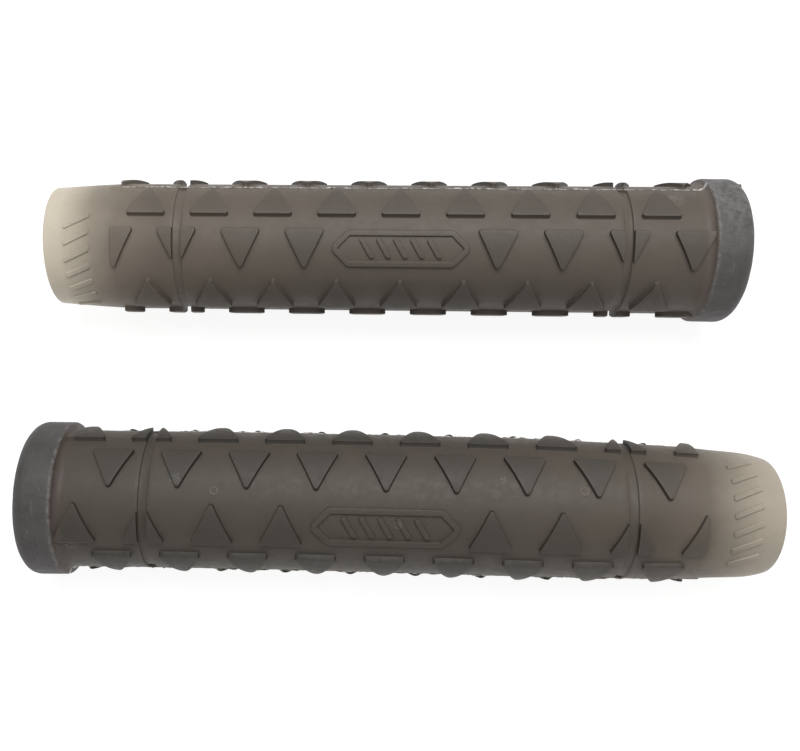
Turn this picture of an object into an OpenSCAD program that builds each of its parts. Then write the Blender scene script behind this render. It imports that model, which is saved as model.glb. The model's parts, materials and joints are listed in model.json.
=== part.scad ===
// Pair of slip-on handlebar grips in smoky rubber, lying side by side.
// Each grip is a knobbed sleeve, open at its thin end, and a bumper cap pushed on behind the
// sleeve's flared shoulder, which closes the other end.
// Grip 1 lies at the back with its thin end at -X, and grip 2 in front with its thin end at +X.
// Millimetres, +Z up. The origin is on the floor, under the middle of the pair.

/* [Sleeve] */
// Length of one grip, cap included
grip_length = 143.6; // [137:0.2:160]
// Outside diameter of the sleeve between the knobs
body_d = 26.6; // [26.4:0.1:30]
// Bore of the unmounted sleeve, a little under a 22.2 mm handlebar
bore_d = 21.6; // [21:0.1:22.2]
// Length of the taper behind the thin lip
taper_length = 16; // [10:1:18]
// How much the radius falls along the taper
taper_drop = 0.95; // [0.4:0.05:1.6]
// Rounding of the lip's outer edge
lip_round = 0.4; // [0.2:0.05:0.6]
// Length of the hollow flare that rises to the cap
flare_length = 1.8; // [0.8:0.1:1.9]

/* [Knobs] */
// Rows of knobs around the sleeve
row_count = 8; // [8:2:8]
// Distance between neighbouring knobs in a row
knob_pitch = 13; // [11:0.5:13]
// Base of a knob's triangle, along the grip
knob_base = 8.4; // [6:0.1:9]
// Height of a knob's triangle, around the grip
knob_height = 8.4; // [6:0.1:8.6]
// Rounding of a triangle's corners
knob_round = 0.5; // [0.2:0.1:1]
// How far the base edge of a knob stands out of the sleeve
knob_rise = 0.95; // [0.5:0.05:1.5]
// How far the tip of a knob stands out
knob_tip_rise = 0.8; // [0.1:0.05:1.5]
// From the lip to the middle of the first knobs
pattern_start = 14.9; // [13:0.1:18]
// How far ahead of those middles the first knobs are cut straight
pattern_cut = 0.5; // [0:0.1:2]

/* [Wire grooves] */
// Width of a safety-wire groove
groove_width = 1.8; // [1:0.1:2.5]
// Depth of a groove below the sleeve's surface
groove_depth = 0.5; // [0.2:0.1:1]
// Knobs from the pattern's start to the first groove and to the second one
groove_steps = [1, 8];

/* [Emblems] */
// Length of the framed emblem that takes the place of two knobs
emblem_length = 28.4; // [24:0.2:29]
// Width of the framed emblem, around the grip
emblem_width = 7.4; // [5:0.2:8]
// Width of the emblem's raised lines
emblem_line = 1.15; // [0.8:0.05:1.6]
// How far the emblem stands out of the sleeve
emblem_rise = 0.45; // [0.2:0.05:1]
// Number of slanted bars near the lip
lip_bars = 7; // [3:1:9]
// From the lip to the middle of the slanted bars
lip_bar_place = 7; // [6:0.5:9]

/* [Bumper cap] */
// Outside diameter of the cap
cap_d = 30; // [29:0.1:36]
// Length of the cap along the grip
cap_length = 7.7; // [7:0.1:14]
// Rounding of the cap's outer corner
cap_round = 2.6; // [1:0.1:3]
// Rounding of the cap's front edge
cap_edge_round = 0.2; // [0.1:0.05:0.3]
// Step from the top of the sleeve's flare up to the cap
cap_step = 0.15; // [0:0.05:0.3]
// Length of the plain spigot that the cap is pushed over
spigot_length = 4.9; // [4:0.1:5]
// Diameter of the spigot
spigot_d = 24.4; // [23.6:0.1:24.6]
// Gap between the spigot and the cap's bore, on the radius
cap_fit = 0.05; // [0.01:0.01:0.1]

/* [Layout of the pair] */
// Distance between the two grips' axes
pair_gap = 55.6; // [34:0.1:80]
// How far the middle of grip 2 lies along +X from the middle of grip 1
pair_shift = 0.6; // [-10:0.1:10]
// Turn of grip 2 about the vertical, away from parallel
pair_turn = 0.4; // [0:0.1:3]
// Roll of grip 1's emblem row from straight up towards the front
roll_1 = 25.5; // [0:0.5:45]
// Roll of grip 2's emblem row from straight up towards the front
roll_2 = 29.5; // [0:0.5:45]

/* [Hidden] */
$fn = 96;
overlap = 1;
body_r = body_d / 2;
bore_r = bore_d / 2;
knob_r = body_r + knob_rise;
cap_r = cap_d / 2;
spigot_r = spigot_d / 2;
cap_bore_r = spigot_r + cap_fit;
spigot_end_gap = 0.1;
sleeve_length = grip_length - cap_length;
flare_rise = cap_r - cap_step - body_r;
taper_power = 1.3;
arc_steps = 8;
corner_steps = 3;
row_angle = 360 / row_count;
// Base of each triangle, measured around the grip from its row's middle line
knob_base_offset = 3.95;
// The faces of a row lie on a cylinder a little off the sleeve's axis, which lowers their tips
knob_face_shift = (knob_rise - knob_tip_rise) * body_r / knob_height;
knob_face_r = body_r + knob_rise - knob_face_shift * knob_base_offset / body_r;
knobs_per_row = floor((sleeve_length - pattern_start) / knob_pitch) + 1;
// The emblem takes the place of these two knobs of row 0
emblem_steps = [4, 5];
emblem_middle = pattern_start + 4.5 * knob_pitch;
emblem_point = emblem_width / 2;
emblem_bars = 5;
emblem_bar_pitch = 3.4;
emblem_bar_slant = 30;
lip_bar_arc = 92;
lip_bar_length = 5.4;
lip_bar_width = 1.15;
lip_bar_slant = 25;
// The slanted bars sit between the emblem row and the row beside it
lip_bar_middle = row_angle / 2;

// Radius of the sleeve at a distance from the lip
function sleeve_r(z) = z >= taper_length ? body_r
    : body_r - taper_drop * pow((taper_length - z) / taper_length, taper_power);

// Points of an arc about [x, y], from one angle to another
function arc(x, y, radius, from, to, steps) =
    [for (i = [0 : steps]) let (a = from + (to - from) * i / steps)
        [x + radius * cos(a), y + radius * sin(a)]];

// Outline of the sleeve from its bore to its outside, as [radius, distance from the lip]
sleeve_outline = concat(
    [[bore_r, 0]],
    arc(sleeve_r(lip_round) - lip_round, lip_round, lip_round, -90, 0, arc_steps),
    [for (i = [1 : 2 * arc_steps]) let (z = taper_length * i / (2 * arc_steps))
        if (z > 2 * lip_round) [sleeve_r(z), z]],
    [for (i = [0 : arc_steps]) let (a = 90 * i / arc_steps)
        [body_r + flare_rise * (1 - cos(a)), sleeve_length - flare_length * (1 - sin(a))]],
    [[spigot_r, sleeve_length], [spigot_r, sleeve_length + spigot_length]],
    [[bore_r, sleeve_length + spigot_length]]
);

// Outline of the cap, as [radius, distance from the lip]
cap_floor = sleeve_length + spigot_length + spigot_end_gap;
cap_outline = concat(
    [[0, cap_floor], [cap_bore_r, cap_floor], [cap_bore_r, sleeve_length]],
    arc(cap_r - cap_edge_round, sleeve_length + cap_edge_round, cap_edge_round, -90, 0, arc_steps),
    arc(cap_r - cap_round, grip_length - cap_round, cap_round, 0, 90, arc_steps),
    [[0, grip_length]]
);

// Triangle with rounded corners, its base at y = 0 and its tip at y = height
module rounded_triangle(base, height, radius) {
    tip = atan(base / 2 / height);
    base_x = base / 2 - radius * (1 + sin(tip)) / cos(tip);
    tip_y = height - radius / sin(tip);
    polygon(concat(
        arc(base_x, radius, radius, -90, tip, corner_steps),
        arc(0, tip_y, radius, tip, 180 - tip, corner_steps),
        arc(-base_x, radius, radius, 180 - tip, 270, corner_steps)
    ));
}

// Bar with slanted sides, whose x runs along the grip and whose y runs around it
module slanted_bar(length, width, slant) {
    lean = length / 2 * tan(slant);
    polygon([
        [-length / 2, -lean - width / 2], [length / 2, lean - width / 2],
        [length / 2, lean + width / 2], [-length / 2, -lean + width / 2]
    ]);
}

// Six-sided plate with pointed ends
module pointed_plate(length, width, point) {
    polygon([
        [-length / 2, 0], [-length / 2 + point, -width / 2], [length / 2 - point, -width / 2],
        [length / 2, 0], [length / 2 - point, width / 2], [-length / 2 + point, width / 2]
    ]);
}

// Stands a flat shape up as a block that points out of the sleeve at a place and an angle
module on_sleeve(z, angle) {
    rotate([0, 0, angle]) translate([bore_r, 0, z]) rotate([0, 90, 0])
        linear_extrude(knob_r - bore_r + overlap) children();
}

// Ring between two radii and two distances from the lip
module ring(inner_r, outer_r, from, to) {
    translate([0, 0, from]) difference() {
        cylinder(r = outer_r, h = to - from);
        translate([0, 0, -overlap]) cylinder(r = inner_r, h = to - from + 2 * overlap);
    }
}

// Even rows start with half a knob and point one way; odd rows sit half a step on and point back
module knob_row(row) {
    odd = row % 2;
    intersection() {
        union() for (step = [0 : knobs_per_row - 1 - odd])
            if (row != 0 || (step != emblem_steps[0] && step != emblem_steps[1]))
                on_sleeve(pattern_start + (step + odd / 2) * knob_pitch, row * row_angle)
                    mirror([0, odd, 0]) translate([0, -knob_base_offset])
                        rounded_triangle(knob_base, knob_height, knob_round);
        rotate([0, 0, row * row_angle]) translate([0, (2 * odd - 1) * knob_face_shift, 0])
            cylinder(r = knob_face_r, h = sleeve_length);
    }
}

module knobs() {
    intersection() {
        union() for (row = [0 : row_count - 1]) knob_row(row);
        ring(body_r - overlap, knob_r + overlap / 2, pattern_start - pattern_cut, sleeve_length);
    }
}

// Framed emblem with slanted bars, on row 0
module emblem() {
    intersection() {
        on_sleeve(emblem_middle, 0) {
            difference() {
                pointed_plate(emblem_length, emblem_width, emblem_point);
                pointed_plate(emblem_length - 3 * emblem_line, emblem_width - 2 * emblem_line,
                    emblem_point - emblem_line);
            }
            intersection() {
                for (i = [0 : emblem_bars - 1])
                    translate([(i - (emblem_bars - 1) / 2) * emblem_bar_pitch, 0])
                        rotate(90) slanted_bar(emblem_width, emblem_line, emblem_bar_slant);
                pointed_plate(emblem_length - emblem_line, emblem_width - emblem_line / 2,
                    emblem_point);
            }
        }
        ring(body_r - overlap, body_r + emblem_rise, pattern_start, sleeve_length);
    }
}

// Row of slanted bars on the taper, near the lip
module lip_emblem() {
    bar_step = lip_bar_arc / (lip_bars - 1);
    intersection() {
        for (i = [0 : lip_bars - 1])
            on_sleeve(lip_bar_place, lip_bar_middle + (i - (lip_bars - 1) / 2) * bar_step)
                slanted_bar(lip_bar_length, lip_bar_width, lip_bar_slant);
        ring(bore_r + overlap / 4, sleeve_r(lip_bar_place) + emblem_rise / 2, 0, pattern_start);
    }
}

// Sleeve along +Z with its lip at z = 0 and its emblem row on +X
module sleeve() {
    difference() {
        union() {
            rotate_extrude() polygon(sleeve_outline);
            knobs();
            emblem();
            lip_emblem();
        }
        for (step = groove_steps)
            ring(body_r - groove_depth, knob_r + overlap,
                pattern_start + step * knob_pitch - groove_width / 2,
                pattern_start + step * knob_pitch + groove_width / 2);
    }
}

module cap() {
    rotate_extrude() polygon(cap_outline);
}

// Places grip 1: lip at -X, resting on its cap
module place_1() {
    translate([-(grip_length + pair_shift) / 2, pair_gap / 2, cap_r]) rotate([0, 90, 0])
        rotate([0, 0, 180 + roll_1]) children();
}

// Places grip 2: lip at +X, turned end for end
module place_2() {
    translate([pair_shift / 2, -pair_gap / 2, cap_r]) rotate([0, 0, 180 - pair_turn])
        translate([-grip_length / 2, 0, 0]) rotate([0, 90, 0]) rotate([0, 0, 180 - roll_2])
            children();
}

module grip_1_sleeve() {
    color([0.42, 0.39, 0.36]) place_1() sleeve();
}

module grip_1_end_cap() {
    color([0.31, 0.32, 0.34]) place_1() cap();
}

module grip_2_sleeve() {
    color([0.42, 0.39, 0.36]) place_2() sleeve();
}

module grip_2_end_cap() {
    color([0.31, 0.32, 0.34]) place_2() cap();
}

grip_1_sleeve();
grip_1_end_cap();
grip_2_sleeve();
grip_2_end_cap();
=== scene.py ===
"""Looks for a pair of slip-on handlebar grips: finely moulded smoky sleeves, scuffed bumper caps.

Shapes are built in each grip's own millimetres: +Z runs from the open lip to the cap, and the
emblem row lies on +X. A grip's matrix then scales that to metres and lays it where the CAD has it.
"""
import json
import math
import random

import bpy
from mathutils import Matrix, Vector, noise


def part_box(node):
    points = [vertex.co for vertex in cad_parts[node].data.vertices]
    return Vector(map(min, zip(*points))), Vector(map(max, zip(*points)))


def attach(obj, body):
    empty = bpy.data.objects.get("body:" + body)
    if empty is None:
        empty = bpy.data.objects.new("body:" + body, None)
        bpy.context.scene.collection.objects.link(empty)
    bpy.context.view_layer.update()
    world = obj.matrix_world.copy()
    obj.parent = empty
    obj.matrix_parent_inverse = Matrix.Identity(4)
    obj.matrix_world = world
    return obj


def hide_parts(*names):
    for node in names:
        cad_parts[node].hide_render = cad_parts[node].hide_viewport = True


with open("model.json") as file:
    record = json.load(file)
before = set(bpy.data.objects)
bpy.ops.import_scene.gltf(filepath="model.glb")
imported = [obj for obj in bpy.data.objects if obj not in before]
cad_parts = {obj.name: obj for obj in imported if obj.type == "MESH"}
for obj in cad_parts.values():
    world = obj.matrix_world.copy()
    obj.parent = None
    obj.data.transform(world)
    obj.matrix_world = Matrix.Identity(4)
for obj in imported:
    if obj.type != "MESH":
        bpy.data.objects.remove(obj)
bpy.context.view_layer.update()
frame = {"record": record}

# ---------------------------------------------------------------- sizes, in millimetres
MM = 0.001
MOUNTS = {m["name"]: m for m in frame["record"]["mounts"]}
BORE_R = MOUNTS["grip_1_bore"]["dims"]["r_mm"]
TUBE_LENGTH = MOUNTS["grip_1_bore"]["dims"]["length_mm"]
CAP_LOW, CAP_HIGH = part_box("grip_1_end_cap")
CAP_R = (CAP_HIGH.z - CAP_LOW.z) / 2 / MM
CAP_LENGTH = (CAP_HIGH.x - CAP_LOW.x) / MM
GRIP_LENGTH = CAP_HIGH.x / MM - MOUNTS["grip_1_bore"]["pos_m"][0] / MM
SLEEVE_LENGTH = GRIP_LENGTH - CAP_LENGTH
BODY_R = 13.3
SPIGOT_R = 12.2
CAP_BORE_R = 12.25
TAPER_LENGTH = 16.0
TAPER_POWER = 1.3
TAPER_DROP = 0.95
LIP_ROUND = 0.4
FLARE_LENGTH = 1.8
FLARE_START = SLEEVE_LENGTH - FLARE_LENGTH
CAP_STEP = 0.15
FLARE_RISE = CAP_R - CAP_STEP - BODY_R
CAP_ROUND = 2.6

PITCH = 13.0
PATTERN_START = 14.9
PATTERN_CUT = 0.5
ROWS = 8
ROW_ANGLE = 360 / ROWS
KNOB_BASE = 8.4
KNOB_HEIGHT = 8.4
KNOB_BASE_OFFSET = 3.95
KNOB_ROUND = 0.5
CUT_ROUND = 0.12
KNOB_RISE = 0.95
KNOB_TIP_RISE = 0.8
KNOB_EDGE = 0.12
# A row's faces lie on a cylinder a little off the sleeve's axis, which lowers their tips
FACE_SHIFT = (KNOB_RISE - KNOB_TIP_RISE) * BODY_R / KNOB_HEIGHT
FACE_R = BODY_R + KNOB_RISE - FACE_SHIFT * KNOB_BASE_OFFSET / BODY_R
EMBLEM_STEPS = (4, 5)
EMBLEM_MIDDLE = PATTERN_START + 4.5 * PITCH
EMBLEM_LENGTH = 28.4
EMBLEM_WIDTH = 7.4
EMBLEM_LINE = 1.15
EMBLEM_RISE = 0.45
EMBLEM_EDGE = 0.16
EMBLEM_BARS = range(-2, 3)
EMBLEM_BAR_PITCH = 3.4
LIP_BARS = 7
LIP_BAR_PLACE = 7.0
LIP_BAR_ARC = 92
BAR_ROUND = 0.3
GROOVES = (PATTERN_START + PITCH, PATTERN_START + 8 * PITCH)
GROOVE_HALF = 0.9
GROOVE_DEPTH = 0.5
PARTING_ANGLES = (112.5, 292.5)

# Roll of each emblem row from straight up towards the front, as in the CAD
ROLL = {"grip_1": 25.5, "grip_2": 29.5}
# Grip 2 lies a little bowed and flattened, and its soft lip end is drawn in sideways
BOW = {"grip_1": 0.0, "grip_2": 0.6}
FLATTENED = {"grip_1": 0.0, "grip_2": 0.02}
DRAWN_IN = {"grip_1": 0.0, "grip_2": 0.065}
DRAWN_FROM = 10.0
DRAWN_TO = 48.0
CURLED_IN = {"grip_1": 0.0, "grip_2": 0.06}
CURLED_TO = 5.0


# ---------------------------------------------------------------- small geometry helpers
def arc(x, y, radius, start, end, steps):
    """Points of an arc about (x, y) from one angle to another, in degrees."""
    angles = [math.radians(start + (end - start) * i / steps) for i in range(steps + 1)]
    return [(x + radius * math.cos(a), y + radius * math.sin(a)) for a in angles]


def steps_between(start, end, step):
    """Evenly spaced values strictly between two ends, about a step apart."""
    count = max(1, round(abs(end - start) / step))
    return [start + (end - start) * i / count for i in range(1, count)]


def clip(points, limit, keep_above):
    """Cuts a convex outline of (along, around) points at a distance along the grip."""
    sign = 1 if keep_above else -1
    out = []
    for a, b in zip(points, points[1:] + points[:1]):
        inside_a, inside_b = sign * (a[0] - limit) >= 0, sign * (b[0] - limit) >= 0
        if inside_a:
            out.append(a)
        if inside_a != inside_b:
            t = (limit - a[0]) / (b[0] - a[0])
            out.append((limit, a[1] + t * (b[1] - a[1])))
    return [p for i, p in enumerate(out) if math.dist(p, out[i - 1]) > 1e-6]


def rounded(points, radii, spacing=0.7, corner_steps=4):
    """Rounds each corner of an anticlockwise outline and adds points along its straight sides."""
    out = []
    count = len(points)
    for i, (p, radius) in enumerate(zip(points, radii)):
        p = Vector(p)
        back = (Vector(points[i - 1]) - p)
        ahead = (Vector(points[(i + 1) % count]) - p)
        half = back.angle(ahead) / 2
        reach = min(radius / math.tan(half), 0.45 * back.length, 0.45 * ahead.length)
        radius = reach * math.tan(half)
        centre = p + (back.normalized() + ahead.normalized()).normalized() * radius / math.sin(half)
        first, last = p + back.normalized() * reach, p + ahead.normalized() * reach
        a = math.atan2(first.y - centre.y, first.x - centre.x)
        b = math.atan2(last.y - centre.y, last.x - centre.x)
        if b < a:
            b += 2 * math.pi
        out += arc(centre.x, centre.y, radius, math.degrees(a), math.degrees(b), corner_steps)
    filled = []
    for a, b in zip(out, out[1:] + out[:1]):
        filled.append(a)
        length = math.dist(a, b)
        if length > 1.5 * spacing:
            count = round(length / spacing)
            filled += [(a[0] + (b[0] - a[0]) * k / count, a[1] + (b[1] - a[1]) * k / count)
                       for k in range(1, count)]
    return filled


def outward(points):
    """Unit normals that point out of an anticlockwise outline."""
    normals = []
    for i in range(len(points)):
        before, after = Vector(points[i - 1]), Vector(points[(i + 1) % len(points)])
        along = (after - before).normalized()
        normals.append(Vector((along.y, -along.x)))
    return normals


def sleeve_radius(z):
    """Outside radius of the sleeve between its knobs."""
    if z >= TAPER_LENGTH:
        return BODY_R
    return BODY_R - TAPER_DROP * ((TAPER_LENGTH - z) / TAPER_LENGTH) ** TAPER_POWER


def flare_radius(z):
    """Outside radius of the flare that rises to the cap."""
    share = min(1.0, (SLEEVE_LENGTH - z) / FLARE_LENGTH)
    return BODY_R + FLARE_RISE * (1 - math.sqrt(1 - (1 - share) ** 2))


def on_sleeve(along, around, rise, angle):
    """Point at a height over the sleeve, a distance around it from a row's middle line."""
    radius = sleeve_radius(along) + rise
    turn = math.radians(angle)
    x = math.sqrt(radius * radius - around * around)
    return (x * math.cos(turn) - around * math.sin(turn),
            x * math.sin(turn) + around * math.cos(turn), along)


def make_mesh(name, vertices, faces):
    mesh = bpy.data.meshes.new(name)
    mesh.from_pydata(vertices, [], faces)
    mesh.validate()
    mesh.update()
    return mesh


def lathe(outline, segments):
    """Closed surface turned about Z from a closed outline; points at radius 0 become poles."""
    vertices, rings = [], []
    for radius, z in outline:
        if radius < 1e-6:
            rings.append([len(vertices)] * segments)
            vertices.append((0, 0, z))
            continue
        rings.append(list(range(len(vertices), len(vertices) + segments)))
        turns = [2 * math.pi * i / segments for i in range(segments)]
        vertices += [(radius * math.cos(t), radius * math.sin(t), z) for t in turns]
    faces = []
    pairs = list(zip(rings, rings[1:] + rings[:1]))
    for low, high in pairs:
        if len(set(low)) == 1 and len(set(high)) == 1:
            continue
        for i in range(segments):
            j = (i + 1) % segments
            corners = [low[i], low[j], high[j], high[i]]
            face = [c for k, c in enumerate(corners) if c != corners[k - 1]]
            faces.append(face)
    return vertices, faces


# ---------------------------------------------------------------- raised detail on the sleeve
# How a raised piece's wall runs: (height over the sleeve, distance outside the outline)
BURIED = -0.35


def wall(rise, edge):
    """Wall of a raised piece, from under the sleeve's skin to the rounded top edge."""
    return [
        (BURIED, 0.0), (-0.03, 0.1), (0.04, 0.04), (0.12, 0.01), (rise - edge, -0.01),
        (rise - 0.45 * edge, -0.1 * edge), (rise - 0.13 * edge, -0.4 * edge), (rise, -edge)
    ]


class Raised:
    """Collects the closed shells of one sleeve's raised pieces in one mesh."""

    def __init__(self):
        self.vertices = []
        self.faces = []

    def plate(self, outline, angle, rise_at, edge, low=-1e9, high=1e9):
        """Plate with an outline in (along, around), kept between two distances from the lip.

        Its height is a function of the distance around from the row's middle line.
        """
        normals = outward(outline)
        middle = sum((Vector(p) for p in outline), Vector((0, 0))) / len(outline)
        rings = []

        def add_ring(points, heights):
            start = len(self.vertices)
            for p, height in zip(points, heights):
                along = min(max(p[0], low), high)
                self.vertices.append(on_sleeve(along, p[1], height, angle))
            rings.append(list(range(start, start + len(points))))

        walls = [wall(rise_at(p[1]), edge) for p in outline]
        for level in zip(*walls):
            points = [Vector(p) + n * offset for p, n, (_, offset) in zip(outline, normals, level)]
            add_ring(points, [height for height, _ in level])
        top = [Vector(p) - n * edge for p, n in zip(outline, normals)]
        for share in (0.78, 0.52, 0.26):
            points = [middle + (p - middle) * share for p in top]
            add_ring(points, [rise_at(p.y) for p in points])
        count = len(outline)
        for lower, upper in zip(rings, rings[1:]):
            for i in range(count):
                j = (i + 1) % count
                self.faces.append((lower[i], lower[j], upper[j], upper[i]))
        for ring, height, flip in ((rings[0], BURIED, True), (rings[-1], rise_at(middle.y), False)):
            self.vertices.append(on_sleeve(middle.x, middle.y, height, angle))
            hub = len(self.vertices) - 1
            for i in range(count):
                a, b = ring[i], ring[(i + 1) % count]
                self.faces.append((hub, b, a) if flip else (hub, a, b))

    def frame(self, path, angle, width, rise, edge):
        """Closed band of a given width that follows a loop."""
        half = width / 2
        side = [(height, half + offset) for height, offset in wall(rise, edge)]
        section = [(h, -o) for h, o in side] + [(h, o) for h, o in reversed(side)]
        normals = outward(path)
        start = len(self.vertices)
        for p, n in zip(path, normals):
            for height, offset in section:
                q = Vector(p) + n * offset
                self.vertices.append(on_sleeve(q.x, q.y, height, angle))
        size, count = len(section), len(path)
        for i in range(count):
            for k in range(size):
                here, ahead = start + i * size, start + (i + 1) % count * size
                after = (k + 1) % size
                self.faces.append((here + k, here + after, ahead + after, ahead + k))


def level_face(rise):
    """Height of a face that stands evenly over the sleeve."""
    return lambda around: rise


def knob_face(odd):
    """Height of a knob's face, which falls from its base edge to its tip."""
    shift = FACE_SHIFT if odd else -FACE_SHIFT

    def rise_at(around):
        return math.hypot(math.sqrt(FACE_R ** 2 - (around - shift) ** 2), around) - BODY_R

    return rise_at


def knob_outline(middle, flip):
    """Sharp triangle about a distance from the lip, anticlockwise in (along, around)."""
    base, tip = -KNOB_BASE_OFFSET, KNOB_HEIGHT - KNOB_BASE_OFFSET
    points = [(middle - KNOB_BASE / 2, base), (middle + KNOB_BASE / 2, base), (middle, tip)]
    if flip:
        points = [(x, -y) for x, y in reversed(points)]
    return points


def add_knobs(raised):
    """Eight rows of triangles; the wire grooves and the ends of the pattern cut through some."""
    gap = GROOVE_HALF + 0.03
    spans = [
        (PATTERN_START - PATTERN_CUT, GROOVES[0] - gap, -1e9),
        (GROOVES[0] + gap, GROOVES[1] - gap, GROOVES[0] + gap),
        (GROOVES[1] + gap, SLEEVE_LENGTH - 0.05, GROOVES[1] + gap),
    ]
    for row in range(ROWS):
        odd = row % 2
        for step in range(10 - odd):
            if row == 0 and step in EMBLEM_STEPS:
                continue
            middle = PATTERN_START + (step + odd / 2) * PITCH
            corners = knob_outline(middle, bool(odd))
            for low, high, clamp_low in spans:
                if middle + KNOB_BASE / 2 < low + 0.5 or middle - KNOB_BASE / 2 > high - 0.5:
                    continue
                part = clip(clip(corners, low, True), high, False)
                radii = [KNOB_ROUND if p in corners else CUT_ROUND for p in part]
                raised.plate(rounded(part, radii), row * ROW_ANGLE, knob_face(odd), KNOB_EDGE,
                             low=clamp_low, high=high)


def add_emblem(raised):
    """Framed plate with slanted bars that takes the place of two triangles in row 0."""
    middle, line = EMBLEM_MIDDLE, EMBLEM_LINE
    tip = (EMBLEM_LENGTH - line) / 2
    flat = (EMBLEM_LENGTH - EMBLEM_WIDTH) / 2
    side = (EMBLEM_WIDTH - line) / 2
    corners = [(middle - flat, -side), (middle + flat, -side), (middle + tip, 0),
               (middle + flat, side), (middle - flat, side), (middle - tip, 0)]
    corner_round = 0.8
    raised.frame(rounded(corners, [corner_round] * 6), 0, line, EMBLEM_RISE, EMBLEM_EDGE)
    reach, lean = 1.95, 1.15
    for i in EMBLEM_BARS:
        x = middle + EMBLEM_BAR_PITCH * i
        bar = [(x - lean - line / 2, -reach), (x - lean + line / 2, -reach),
               (x + lean + line / 2, reach), (x + lean - line / 2, reach)]
        raised.plate(rounded(bar, [BAR_ROUND] * 4), 0, level_face(EMBLEM_RISE), EMBLEM_EDGE)


def add_lip_bars(raised):
    """Seven slanted bars on the taper, between the emblem row and the row beside it."""
    middle, reach, half, lean = LIP_BAR_PLACE, 2.7, 0.575, 1.26
    rise, edge = 0.3, 0.13
    for i in range(LIP_BARS):
        angle = ROW_ANGLE / 2 + (i - (LIP_BARS - 1) / 2) * LIP_BAR_ARC / (LIP_BARS - 1)
        bar = [(middle - reach, lean - half), (middle + reach, -lean - half),
               (middle + reach, -lean + half), (middle - reach, lean + half)]
        raised.plate(rounded(bar, [BAR_ROUND] * 4), angle, level_face(rise), edge)


# Points in the cross-section of a ridge of flash
FLASH_SIDES = 5


def add_flash(raised, seed):
    """Thin ragged ridges that the mould's two halves left along the sleeve and in its grooves."""
    draw = random.Random(seed)
    gap = GROOVE_HALF + 0.3
    flash_start, spacing = 12.0, 0.4
    # Each span is (from, to, how deep the sleeve's skin lies there)
    spans = [(flash_start, GROOVES[0] - gap, 0.0), (GROOVES[0] + gap, GROOVES[1] - gap, 0.0),
             (GROOVES[1] + gap, SLEEVE_LENGTH - 0.1, 0.0)]
    spans += [(g - gap, g + gap, GROOVE_DEPTH) for g in GROOVES]
    for angle in PARTING_ANGLES:
        for low, high, sunk in spans:
            places = [low] + steps_between(low, high, spacing) + [high]
            start = len(raised.vertices)
            for z in places:
                ragged = max(0.0, noise.noise(Vector((z * 0.55, angle, seed))))
                rise = 0.08 + 0.34 * ragged + 0.08 * draw.random()
                drift = 0.12 * noise.noise(Vector((z * 0.3, seed, angle)))
                half = 0.11 + 0.06 * draw.random()
                skin = flare_radius(z) - BODY_R if z > FLARE_START else 0.0
                section = ((drift - half, BURIED - sunk), (drift - half, 0.0), (drift, rise),
                           (drift + half, 0.0), (drift + half, BURIED - sunk))
                for around, height in section:
                    raised.vertices.append(on_sleeve(z, around, skin + height, angle))
            for i in range(len(places) - 1):
                for k in range(FLASH_SIDES):
                    a = start + FLASH_SIDES * i + k
                    b = start + FLASH_SIDES * i + (k + 1) % FLASH_SIDES
                    raised.faces.append((a, b, b + FLASH_SIDES, a + FLASH_SIDES))
            last = start + FLASH_SIDES * (len(places) - 1)
            raised.faces.append(tuple(start + k for k in reversed(range(FLASH_SIDES))))
            raised.faces.append(tuple(last + k for k in range(FLASH_SIDES)))


# ---------------------------------------------------------------- sleeve and cap
SLEEVE_SEGMENTS = 288
CAP_SEGMENTS = 256


def groove_outline(middle):
    """Rounded wire groove, as [radius, distance from the lip]."""
    edge, floor = 0.12, 0.22
    bottom = BODY_R - GROOVE_DEPTH
    low, high = middle - GROOVE_HALF, middle + GROOVE_HALF
    return (
        [(BODY_R, low - edge), (BODY_R - 0.3 * edge, low - 0.3 * edge), (BODY_R - edge, low)]
        + [(r, z) for r, z in arc(bottom + floor, low + floor, floor, 270, 180, 4)][::-1]
        + [(bottom, middle)]
        + [(r, z) for r, z in arc(bottom + floor, high - floor, floor, 180, 90, 4)]
        + [(BODY_R - edge, high), (BODY_R - 0.3 * edge, high + 0.3 * edge), (BODY_R, high + edge)]
    )


def sleeve_outline():
    """Closed outline of the sleeve and its spigot."""
    spacing = 0.55
    groove_margin = 1.2
    lip = sleeve_radius(LIP_ROUND) - LIP_ROUND
    points = [(BORE_R, 0.15), (BORE_R + 0.04, 0.04), (BORE_R + 0.15, 0.0)]
    points += arc(lip, LIP_ROUND, LIP_ROUND, -90, 0, 7)
    taper_end = GROOVES[0] - groove_margin
    points += [(sleeve_radius(z), z) for z in steps_between(LIP_ROUND, taper_end, spacing)]
    points += groove_outline(GROOVES[0])
    between = (GROOVES[0] + groove_margin, GROOVES[1] - groove_margin)
    points += [(BODY_R, z) for z in steps_between(*between, spacing)]
    points += groove_outline(GROOVES[1])
    points += [(BODY_R, z) for z in steps_between(GROOVES[1] + groove_margin, FLARE_START, spacing)]
    for i in range(11):
        a = math.radians(86 * i / 10)
        points.append((BODY_R + FLARE_RISE * (1 - math.cos(a)),
                       SLEEVE_LENGTH - 0.1 - (FLARE_LENGTH - 0.1) * (1 - math.sin(a))))
    top = BODY_R + FLARE_RISE
    points += [(top - 0.02, SLEEVE_LENGTH - 0.07), (top, SLEEVE_LENGTH - 0.02),
               (top - 0.03, SLEEVE_LENGTH), (SPIGOT_R, SLEEVE_LENGTH)]
    points += [(SPIGOT_R, z) for z in steps_between(SLEEVE_LENGTH, TUBE_LENGTH, 1.2)]
    points += [(SPIGOT_R, TUBE_LENGTH - 0.2), (SPIGOT_R - 0.2, TUBE_LENGTH), (BORE_R, TUBE_LENGTH)]
    points += [(BORE_R, z) for z in steps_between(TUBE_LENGTH, 0.15, 2.5)]
    return points


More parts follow.
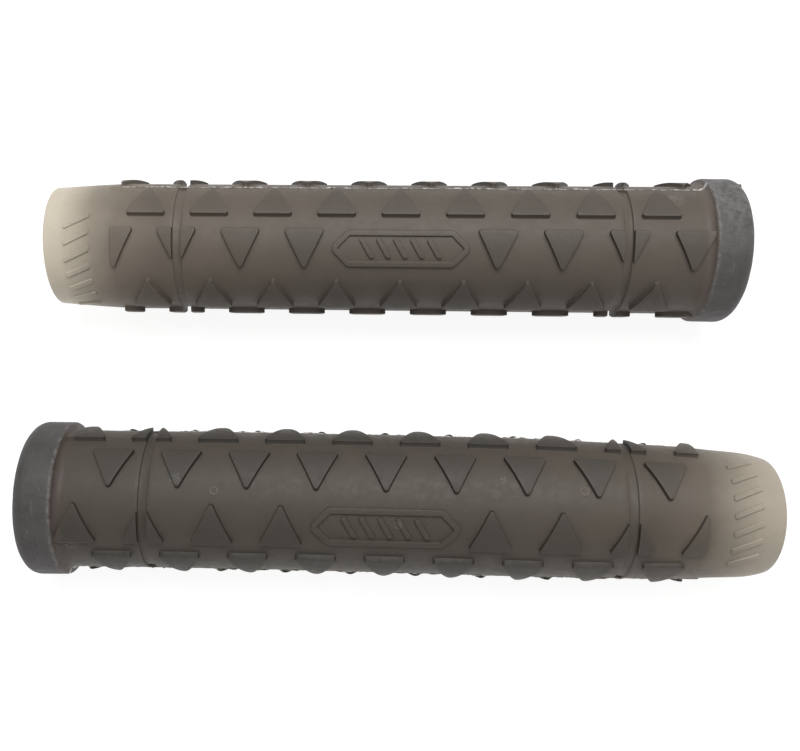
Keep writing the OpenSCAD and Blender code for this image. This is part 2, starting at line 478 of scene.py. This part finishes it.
def sleeve_mesh(name, seed):
    """One moulded sleeve: a turned tube joined with every raised piece."""
    tube = bpy.data.objects.new(name, make_mesh(name, *lathe(sleeve_outline(), SLEEVE_SEGMENTS)))
    raised = Raised()
    add_knobs(raised)
    add_emblem(raised)
    add_lip_bars(raised)
    add_flash(raised, seed)
    extra_mesh = make_mesh("raised", raised.vertices, raised.faces)
    extra = bpy.data.objects.new(name + "_raised", extra_mesh)
    for o in (tube, extra):
        bpy.context.scene.collection.objects.link(o)
    join = tube.modifiers.new("raised", "BOOLEAN")
    join.operation = "UNION"
    join.solver = "MANIFOLD"
    join.object = extra
    bpy.context.view_layer.update()
    evaluated = tube.evaluated_get(bpy.context.evaluated_depsgraph_get())
    joined = bpy.data.meshes.new_from_object(evaluated)
    bpy.data.objects.remove(extra)
    bpy.data.objects.remove(tube)
    joined.name = name
    return joined


# Depths of the cap's wear, and the nub of flash on its outer corner
DENT_DEPTH = 0.12
GRAIN_DEPTH = 0.03
RAGGED_DEPTH = 0.09
RAGGED_WIDTH = 0.5
NUB_HEIGHT = 0.5
NUB_SPREAD = 0.35
NUB_TURN = math.radians(PARTING_ANGLES[1])
NUB_RADIUS = CAP_R - 0.75
NUB_PLACE = Vector((
    NUB_RADIUS * math.cos(NUB_TURN), NUB_RADIUS * math.sin(NUB_TURN), GRIP_LENGTH - 0.75))


def cap_outline():
    """Closed outline of the bumper cap, a cup with a rounded outer corner."""
    floor = TUBE_LENGTH + 0.1
    front = SLEEVE_LENGTH
    points = [(0, floor)] + [(r, floor) for r in (4, 8, 11, CAP_BORE_R - 0.2)]
    points += [(CAP_BORE_R, floor - 0.2)]
    points += [(CAP_BORE_R, z) for z in steps_between(floor, front, 0.8)]
    points += [(CAP_BORE_R + 0.15, front)] + [(r, front) for r in (13.2, 13.9, 14.4)]
    points += arc(CAP_R - 0.2, front + 0.2, 0.2, -90, 0, 4)
    points += [(CAP_R, z) for z in steps_between(front + 0.2, GRIP_LENGTH - CAP_ROUND, 0.3)]
    points += arc(CAP_R - CAP_ROUND, GRIP_LENGTH - CAP_ROUND, CAP_ROUND, 0, 90, 14)
    points += [(r, GRIP_LENGTH) for r in (11.6, 10.4, 9, 7.5, 6, 4.5, 3, 1.5, 0.5)]
    points += [(0, GRIP_LENGTH)]
    return points


def cap_mesh(name, seed):
    """Bumper cap with the shallow dents and ragged front edge of a knocked-about moulding."""
    vertices, faces = lathe(cap_outline(), CAP_SEGMENTS)
    worn = []
    for v in vertices:
        p = Vector(v)
        radius = math.hypot(p.x, p.y)
        outside = radius > CAP_BORE_R + 0.5 or p.z > GRIP_LENGTH - 0.01
        if outside and radius > 0.1:
            dent = 0.5 + 0.5 * noise.noise(p * 0.28 + Vector((seed, 0, 0)))
            fine = 0.5 + 0.5 * noise.noise(p * 1.3 + Vector((0, seed, 0)))
            depth = DENT_DEPTH * dent * dent + GRAIN_DEPTH * fine
            near_edge = max(0.0, 1 - (p.z - SLEEVE_LENGTH) / RAGGED_WIDTH)
            ragged = 0.5 + 0.5 * noise.noise(Vector((p.x, p.y, seed)) * 1.7)
            depth += RAGGED_DEPTH * near_edge * ragged
            inward = Vector((-p.x / radius, -p.y / radius, 0))
            if p.z > GRIP_LENGTH - CAP_ROUND:
                share = min(1.0, (p.z - GRIP_LENGTH + CAP_ROUND) / CAP_ROUND)
                inward = inward * (1 - share) + Vector((0, 0, -share))
            p += inward * depth
            # The nub stands at one end of the parting line
            nub = math.exp(-((p - NUB_PLACE).length / NUB_SPREAD) ** 2)
            away = (NUB_PLACE - Vector((0, 0, GRIP_LENGTH - CAP_ROUND))).normalized()
            p += away * NUB_HEIGHT * nub
        worn.append(p)
    return make_mesh(name, worn, faces)


def grip_matrix(grip):
    """Lays a grip built in its own millimetres where the CAD has it."""
    mount = MOUNTS[grip + "_bore"]
    along = -Vector(mount["axis"]).normalized()
    up = Vector((0, 0, 1))
    front = Vector((along.y, -along.x, 0))
    if front.y > 0:
        front.negate()
    roll = math.radians(ROLL[grip])
    emblem = up * math.cos(roll) + front * math.sin(roll)
    turn = Matrix((emblem, along.cross(emblem), along)).transposed().to_4x4()
    return Matrix.Translation(mount["pos_m"]) @ turn @ Matrix.Scale(MM, 4)


def shade_walls(mesh, grip):
    """Keeps how dark each point of a knob's wall is painted: painted shade for the light that
    enters it and is lost in the rubber.
    """
    base, side = WALL_SHADE[grip]
    kept = mesh.attributes.new("wall_shade", "FLOAT", "POINT")
    for value, vertex in zip(kept.data, mesh.vertices):
        radius = math.hypot(vertex.co.x, vertex.co.y)
        lift = min(1.0, max(0.0, (radius - BODY_R) / 0.1))
        in_pattern = PATTERN_START - 1 < vertex.co.z < FLARE_START
        if lift == 0.0 or not in_pattern:
            continue
        radial = (vertex.normal.x * vertex.co.x + vertex.normal.y * vertex.co.y) / radius
        steep = min(1.0, max(0.0, (0.8 - abs(radial)) / 0.5))
        shade = base + (side - base) * abs(vertex.normal.z)
        turn = math.degrees(math.atan2(vertex.co.y, vertex.co.x))
        from_middle = abs(vertex.co.z - EMBLEM_MIDDLE)
        if abs(turn) < EMBLEM_HALF_ANGLE and from_middle < EMBLEM_HALF_LENGTH:
            shade = EMBLEM_SHADE
        value.value = lift * steep * shade


def settle(mesh, grip):
    """Bows and flattens a grip and draws its lip end in sideways, as the soft rubber lies."""
    side = grip_matrix(grip).to_3x3().inverted() @ Vector((0, 1, 0))
    side.normalize()
    for vertex in mesh.vertices:
        z = vertex.co.z
        share = min(1.0, max(0.0, (DRAWN_TO - z) / (DRAWN_TO - DRAWN_FROM)))
        curl = max(0.0, (CURLED_TO - z) / CURLED_TO)
        narrowed = DRAWN_IN[grip] * share ** 1.3 + CURLED_IN[grip] * curl ** 2 - FLATTENED[grip]
        bowed = BOW[grip] * ((2 * z / GRIP_LENGTH - 1) ** 2 - 1 / 3)
        vertex.co -= side * (narrowed * vertex.co.dot(side) + bowed)


def place(name, mesh, grip, body, node, material, sharp_angle):
    """Makes a mesh a shown piece: smooth shaded, in place, riding on its body.

    The point attributes grip_mm and wall_shade keep, for the materials, each point's place on
    its grip and how much painted shade it takes as part of a knob's wall.
    """
    kept = mesh.attributes.new("grip_mm", "FLOAT_VECTOR", "POINT")
    for value, vertex in zip(kept.data, mesh.vertices):
        value.vector = vertex.co
    shade_walls(mesh, grip)
    settle(mesh, grip)
    mesh.transform(grip_matrix(grip))
    mesh.shade_smooth()
    mesh.set_sharp_from_angle(angle=math.radians(sharp_angle))
    mesh.materials.clear()
    mesh.materials.append(material)
    piece = bpy.data.objects.new(name, mesh)
    bpy.context.scene.collection.objects.link(piece)
    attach(piece, body)
    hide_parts(node)
    return piece


# ---------------------------------------------------------------- materials
class Nodes:
    """Short ways to add and join shader nodes in one material."""

    def __init__(self, name):
        self.material = bpy.data.materials.new(name)
        self.material.use_nodes = True
        self.tree = self.material.node_tree
        self.shader = self.tree.nodes["Principled BSDF"]

    def add(self, kind, **values):
        node = self.tree.nodes.new(kind)
        for key, value in values.items():
            setattr(node, key, value)
        return node

    def put(self, socket, value):
        if isinstance(value, bpy.types.NodeSocket):
            self.tree.links.new(value, socket)
        else:
            socket.default_value = value

    def math(self, operation, a, b=0.0, c=0.0, clamp=False):
        node = self.add("ShaderNodeMath", operation=operation, use_clamp=clamp)
        for socket, value in zip(node.inputs, (a, b, c)):
            self.put(socket, value)
        return node.outputs[0]

    def spread(self, value, low, high, to_low=0.0, to_high=1.0):
        node = self.add("ShaderNodeMapRange", interpolation_type="SMOOTHSTEP")
        for socket, v in zip(node.inputs, (value, low, high, to_low, to_high)):
            self.put(socket, v)
        return node.outputs[0]

    def mix(self, share, a, b, blend="MIX"):
        node = self.add("ShaderNodeMix", data_type="RGBA", blend_type=blend)
        self.put(node.inputs[0], share)
        self.put(node.inputs[6], a)
        self.put(node.inputs[7], b)
        return node.outputs[2]

    def noise(self, vector, scale, detail=4.0, roughness=0.55):
        node = self.add("ShaderNodeTexNoise")
        self.put(node.inputs["Vector"], vector)
        for key, value in (("Scale", scale), ("Detail", detail), ("Roughness", roughness)):
            self.put(node.inputs[key], value)
        return node.outputs["Fac"]

    def ramp(self, value, stops):
        """Colour ramp; each stop is (place, linear red, green, blue)."""
        node = self.add("ShaderNodeValToRGB")
        self.put(node.inputs[0], value)
        elements = node.color_ramp.elements
        while len(elements) < len(stops):
            elements.new(0.5)
        for element, (position, *colour) in zip(elements, stops):
            element.position = position
            element.color = (*colour, 1)
        return node.outputs[0]

    def bump(self, heights):
        """Chain of bumps; each entry is (height socket, distance in metres)."""
        normal = None
        for height, distance in heights:
            node = self.add("ShaderNodeBump")
            self.put(node.inputs["Distance"], distance)
            self.put(node.inputs["Height"], height)
            if normal is not None:
                self.put(node.inputs["Normal"], normal)
            normal = node.outputs[0]
        return normal

    def place_on_grip(self):
        """Sockets for the point in the grip's millimetres, and for its three parts and radius."""
        point = self.add("ShaderNodeAttribute", attribute_name="grip_mm").outputs["Vector"]
        split = self.add("ShaderNodeSeparateXYZ")
        self.put(split.inputs[0], point)
        x, y, z = split.outputs
        squares = self.math("ADD", self.math("MULTIPLY", x, x), self.math("MULTIPLY", y, y))
        radius = self.math("SQRT", squares)
        return point, x, y, z, radius


# Colour of each sleeve at distances from its lip in millimetres: it pales where the wall thins, as
# painted light shining through, and grip 2's copy is darker all along as painted shade
SMOKE_WITH_PAINTED_LIGHT = {
    "grip_1": [
        (0, 0.585, 0.525, 0.430), (3.5, 0.550, 0.490, 0.400), (10, 0.262, 0.228, 0.184),
        (14.7, 0.182, 0.153, 0.124), (24, 0.130, 0.109, 0.089), (60, 0.104, 0.088, 0.074),
    ],
    "grip_2": [
        (0, 0.390, 0.348, 0.286), (5, 0.342, 0.300, 0.243), (9, 0.232, 0.204, 0.164),
        (14, 0.134, 0.115, 0.092), (17, 0.122, 0.102, 0.082), (24, 0.090, 0.076, 0.063),
        (60, 0.071, 0.061, 0.050),
    ],
}
# Painted shade: grip 2's cap is darkened all over
CAP_SHADE_FACTOR = {"grip_1": 1.0, "grip_2": 0.80}
# Strength of the broad pale patch on each cap: scuffing, and on grip 1 also painted light on its
# top
CAP_SCUFF_AND_TOP_LIGHT = {"grip_1": 0.42, "grip_2": 0.1}
# Share of painted shade on a knob's walls, for the skin's light that they lose, at its base and
# along its sides
WALL_SHADE = {"grip_1": (0.35, 0.5), "grip_2": (0.6, 0.6)}
EMBLEM_SHADE = 0.15
WALL_SHADE_COLOUR = (0.012, 0.011, 0.010, 1)
EMBLEM_HALF_ANGLE = 20
EMBLEM_HALF_LENGTH = 14.8
# How much the knobs' faces darken where they stand highest
FACE_SHADE = {"grip_1": 0.22, "grip_2": 0.36}
# Painted light on each flare beside the cap, paler and redder than the shade that falls there;
# darker on grip 2
FLARE_PAINTED_GLOW = {"grip_1": (0.130, 0.105, 0.093, 1), "grip_2": (0.080, 0.063, 0.057, 1)}
# Marks on each sleeve: (kind, distance from the lip, angle around from the emblem row, radius)
MARKS = {
    "grip_1": [("scuff", 129.0, -50.0, 1.8), ("scuff", 33.5, -58.0, 1.2)],
    "grip_2": [("pin", 105.6, 27.0, 0.9), ("pin", 36.7, 34.0, 1.0), ("scuff", 112.8, 36.0, 1.3),
               ("scuff", 51.7, 41.0, 0.8), ("scuff", 71.0, 3.0, 0.9), ("scuff", 133.0, -20.0, 1.6)],
}
RAMP_LENGTH = 80.0


def mark_masks(n, point, marks):
    """Masks of the ring-shaped pin marks and of the rough scuffs."""
    pins, scuffs = 0.0, 0.0
    grain = n.spread(n.noise(point, 4.5, 3.0, 0.7), 0.50, 0.64)
    for kind, z, angle, size in marks:
        turn = math.radians(angle)
        centre = (BODY_R * math.cos(turn), BODY_R * math.sin(turn), z)
        away = n.add("ShaderNodeVectorMath", operation="DISTANCE")
        n.put(away.inputs[0], point)
        n.put(away.inputs[1], centre)
        inside = n.math("SUBTRACT", 1.0, n.spread(away.outputs["Value"], 0.75 * size, 1.15 * size))
        if kind == "pin":
            hollow = n.spread(away.outputs["Value"], 0.35 * size, 0.75 * size)
            pins = n.math("MAXIMUM", pins, n.math("MULTIPLY", inside, hollow))
        else:
            scuffs = n.math("MAXIMUM", scuffs, n.math("MULTIPLY", inside, grain))
    return pins, scuffs


def smoke_rubber(grip):
    """Translucent smoky rubber, with painted light making it palest at the thin lip and painted
    shade where the knobs thicken it and on their walls.
    """
    n = Nodes(grip + "_smoke_rubber")
    point, x, y, z, radius = n.place_on_grip()
    cloud = n.noise(point, 0.09, 3.0)
    drifted = n.math("ADD", z, n.math("MULTIPLY", n.math("SUBTRACT", cloud, 0.5), 4.0))
    share = n.math("DIVIDE", drifted, RAMP_LENGTH, clamp=True)
    # Smoke colour along the sleeve, with painted light at the thin lip and, on grip 2, painted
    # shade
    body = n.ramp(share, [(at / RAMP_LENGTH, *colour) for at, *colour in SMOKE_WITH_PAINTED_LIGHT[grip]])
    turn = n.math("ARCTAN2", y, x)
    # Painted light on the flare, where shade falls beside the cap
    flare_glow = n.spread(z, FLARE_START - 0.3, SLEEVE_LENGTH - 0.7)
    body = n.mix(n.math("MULTIPLY", flare_glow, 0.7), body, FLARE_PAINTED_GLOW[grip])
    # The thicker the rubber of a knob, the less light comes through its face
    height = n.spread(radius, BODY_R + 0.12, BODY_R + KNOB_RISE)
    before_flare = n.math("LESS_THAN", z, FLARE_START)
    thick = n.math("MULTIPLY", height, before_flare)
    body = n.mix(n.math("MULTIPLY", thick, FACE_SHADE[grip]), body, (0.030, 0.031, 0.029, 1))
    # Painted shade on the walls of the knobs and the emblem
    wall_shade = n.add("ShaderNodeAttribute", attribute_name="wall_shade").outputs["Fac"]
    body = n.mix(wall_shade, body, WALL_SHADE_COLOUR)
    mottle = n.noise(point, 0.3, 5.0, 0.6)
    mottling = n.ramp(mottle, [(0.3, 0.42, 0.42, 0.43), (0.7, 0.58, 0.58, 0.57)])
    body = n.mix(0.25, body, mottling, "OVERLAY")
    specks = n.spread(n.noise(point, 2.6, 2.0, 0.5), 0.72, 0.78)
    body = n.mix(n.math("MULTIPLY", specks, 0.3), body, (0.25, 0.24, 0.22, 1))
    # Ragged flash along the parting line, painted pale as a highlight where it catches the light
    flash_highlight = 0.0
    for angle in PARTING_ANGLES:
        signed = math.radians(angle if angle < 180 else angle - 360)
        off = n.math("ABSOLUTE", n.math("SUBTRACT", turn, signed))
        near = n.math("SUBTRACT", 1.0, n.spread(off, 0.25 / BODY_R, 0.5 / BODY_R))
        flash_highlight = n.math("MAXIMUM", flash_highlight, near)
    ragged = n.spread(n.noise(point, 1.1, 4.0, 0.7), 0.42, 0.56)
    raised = n.spread(radius, BODY_R + 0.02, BODY_R + 0.12)
    flash_highlight = n.math("MULTIPLY", n.math("MULTIPLY", flash_highlight, ragged), raised)
    body = n.mix(flash_highlight, body, (0.62, 0.61, 0.59, 1))
    # Pale rim of the flare beside the cap: partly wear, partly a painted highlight along its edge
    rim_wear_and_highlight = n.spread(radius, BODY_R + FLARE_RISE - 0.35, BODY_R + FLARE_RISE - 0.05)
    worn = n.math("MULTIPLY", rim_wear_and_highlight, n.spread(n.noise(point, 0.6, 4.0, 0.7), 0.40, 0.62))
    body = n.mix(n.math("MULTIPLY", worn, 0.6), body, (0.21, 0.19, 0.17, 1))
    pins, scuffs = mark_masks(n, point, MARKS[grip])
    body = n.mix(n.math("MULTIPLY", pins, 0.2), body, (0.26, 0.23, 0.20, 1))
    body = n.mix(n.math("MULTIPLY", scuffs, 0.4), body, (0.36, 0.35, 0.33, 1))
    n.put(n.shader.inputs["Base Color"], body)
    rough = n.spread(n.noise(point, 0.8, 4.0, 0.6), 0.3, 0.7, 0.46, 0.60)
    n.put(n.shader.inputs["Roughness"], rough)
    n.put(n.shader.inputs["Normal"], n.bump([
        (n.noise(point, 0.2, 2.0), 0.00004), (n.noise(point, 6.0, 3.0, 0.6), 0.00002),
        (pins, 0.00008)]))
    n.put(n.shader.inputs["Subsurface Weight"], 0.2)
    n.put(n.shader.inputs["Subsurface Radius"], (1.0, 0.8, 0.6))
    n.put(n.shader.inputs["Subsurface Scale"], 0.001)
    n.put(n.shader.inputs["Specular IOR Level"], 0.25)
    return n.material


def dark_rubber(grip):
    """Scuffed blue-grey rubber of a bumper cap, with painted light on its front edge and, on grip
    1, its top, and painted shade all over on grip 2.
    """
    n = Nodes(grip + "_dark_rubber")
    # Grip 2's cap is darker all over as painted shade
    shade_factor = CAP_SHADE_FACTOR[grip]
    point, x, y, z, radius = n.place_on_grip()
    cloud = n.noise(point, 0.16, 4.0, 0.6)
    greys = [(0.30, 0.066, 0.061, 0.061), (0.5, 0.084, 0.078, 0.077), (0.72, 0.105, 0.099, 0.098)]
    body = n.ramp(cloud, [(at, r * shade_factor, g * shade_factor, b * shade_factor) for at, r, g, b in greys])
    turn = n.math("ARCTAN2", y, x)
    along_scuff = n.add("ShaderNodeCombineXYZ")
    rubbed = (n.math("MULTIPLY", turn, 3.0), n.math("MULTIPLY", z, 1.6), radius)
    for socket, value in zip(along_scuff.inputs, rubbed):
        n.put(socket, value)
    scuffs = n.spread(n.noise(along_scuff.outputs[0], 0.8, 6.0, 0.7), 0.56, 0.72)
    pale = (0.23 * shade_factor, 0.23 * shade_factor, 0.235 * shade_factor, 1)
    body = n.mix(n.math("MULTIPLY", scuffs, 0.45), body, pale)
    specks = n.spread(n.noise(point, 2.2, 3.0, 0.6), 0.70, 0.76)
    body = n.mix(n.math("MULTIPLY", specks, 0.5), body, (0.25, 0.245, 0.24, 1))
    # Ragged front edge, rubbed paler than the rest and also painted as a highlight along the edge
    edge = n.math("SUBTRACT", 1.0, n.spread(z, SLEEVE_LENGTH + 0.25, SLEEVE_LENGTH + 0.7))
    rubbed_edge_and_highlight = n.math("MULTIPLY", edge, n.spread(n.noise(point, 0.9, 4.0, 0.7), 0.36, 0.60))
    body = n.mix(n.math("MULTIPLY", rubbed_edge_and_highlight, 0.4), body, (0.22, 0.21, 0.20, 1))
    # Broad pale scuffing on the half of the cap by the parting line; on grip 1 that half faces up,
    # and the patch is also painted light on its top
    facing = n.math("COSINE", n.math("SUBTRACT", turn, math.radians(PARTING_ANGLES[1])))
    worn = n.spread(n.noise(point, 0.45, 5.0, 0.7), 0.40, 0.62)
    scuff_and_top_light = n.math("MULTIPLY", n.spread(facing, 0.35, 0.95), worn)
    scuff_and_top_light = n.math("MULTIPLY", scuff_and_top_light, CAP_SCUFF_AND_TOP_LIGHT[grip])
    body = n.mix(scuff_and_top_light, body, (0.23 * shade_factor, 0.22 * shade_factor, 0.225 * shade_factor, 1))
    n.put(n.shader.inputs["Base Color"], body)
    n.put(n.shader.inputs["Roughness"], n.spread(cloud, 0.3, 0.7, 0.5, 0.66))
    n.put(n.shader.inputs["Normal"], n.bump([
        (n.noise(point, 0.7, 4.0, 0.6), 0.00025), (scuffs, 0.00006),
        (n.noise(point, 7.0, 2.0), 0.00002)]))
    n.put(n.shader.inputs["Specular IOR Level"], 0.3)
    return n.material


def floor_material():
    """Pale sheet lit from below as well, so that the pair's shadows stay faint."""
    n = Nodes("pale_floor")
    n.put(n.shader.inputs["Base Color"], (0.2, 0.2, 0.2, 1))
    n.put(n.shader.inputs["Roughness"], 0.8)
    n.put(n.shader.inputs["Specular IOR Level"], 0.0)
    n.put(n.shader.inputs["Emission Color"], (1, 1, 1, 1))
    n.put(n.shader.inputs["Emission Strength"], 0.9)
    return n.material


# ---------------------------------------------------------------- the pair
for number, grip in enumerate(("grip_1", "grip_2")):
    sleeve = sleeve_mesh(grip + "_moulded_sleeve", 3 + number)
    place(grip + "_moulded_sleeve", sleeve, grip, grip, grip + "_sleeve",
          smoke_rubber(grip), 42)
    cap = cap_mesh(grip + "_bumper_cap", 11 + number)
    place(grip + "_bumper_cap", cap, grip, grip + "_cap", grip + "_end_cap",
          dark_rubber(grip), 50)


# ---------------------------------------------------------------- floor, light and camera
def add_floor():
    """Square sheet just under the pair, so that it never shares a face with them."""
    size = 3.0
    clearance = 0.0002
    corners = [(-size, -size, 0), (size, -size, 0), (size, size, 0), (-size, size, 0)]
    floor = bpy.data.objects.new("floor", make_mesh("floor", corners, [(0, 1, 2, 3)]))
    floor.data.materials.append(floor_material())
    floor.location.z = -clearance
    bpy.context.scene.collection.objects.link(floor)


def add_area(name, place_m, aim_m, size, power, colour):
    """Round soft light; places and size in metres, power in watts."""
    light = bpy.data.lights.new(name, "AREA")
    light.shape = "DISK"
    light.size = size
    light.energy = power
    light.color = colour
    lamp = bpy.data.objects.new(name, light)
    lamp.location = place_m
    lamp.rotation_euler = (Vector(aim_m) - Vector(place_m)).to_track_quat("-Z", "Y").to_euler()
    bpy.context.scene.collection.objects.link(lamp)


def add_world(colour, strength):
    """Even light from all round."""
    world = bpy.data.worlds.new("soft")
    world.use_nodes = True
    background = world.node_tree.nodes["Background"]
    background.inputs["Color"].default_value = (*colour, 1)
    background.inputs["Strength"].default_value = strength
    bpy.context.scene.world = world


def add_camera():
    """Camera close above the pair, tilted a little towards the back."""
    centre = Vector((-5.73, -57.15, 192.21)) * MM
    aim = Vector((-12.34, -8.49, 15.0)) * MM
    roll = math.radians(-1.4)
    data = bpy.data.cameras.new("camera")
    data.lens = 40.2
    data.sensor_width = 36
    data.shift_x = 0.086
    data.shift_y = 0.043
    data.clip_start = 0.01
    camera = bpy.data.objects.new("camera", data)
    ahead = (aim - centre).normalized()
    level = ahead.cross(Vector((0, 1, 0))).normalized()
    up = level.cross(ahead) * math.cos(roll) + level * math.sin(roll)
    turn = Matrix((ahead.cross(up), up, -ahead)).transposed().to_4x4()
    camera.matrix_world = Matrix.Translation(centre) @ turn
    bpy.context.scene.collection.objects.link(camera)
    bpy.context.scene.camera = camera


add_floor()
add_area("key", place_m=(0.03, 0.11, 0.45), aim_m=(0, 0.02, 0), size=0.34, power=1.85,
         colour=(1.0, 1.0, 1.0))
add_world(colour=(1.0, 0.985, 0.96), strength=0.42)
add_camera()
bpy.context.scene.view_settings.view_transform = "Standard"
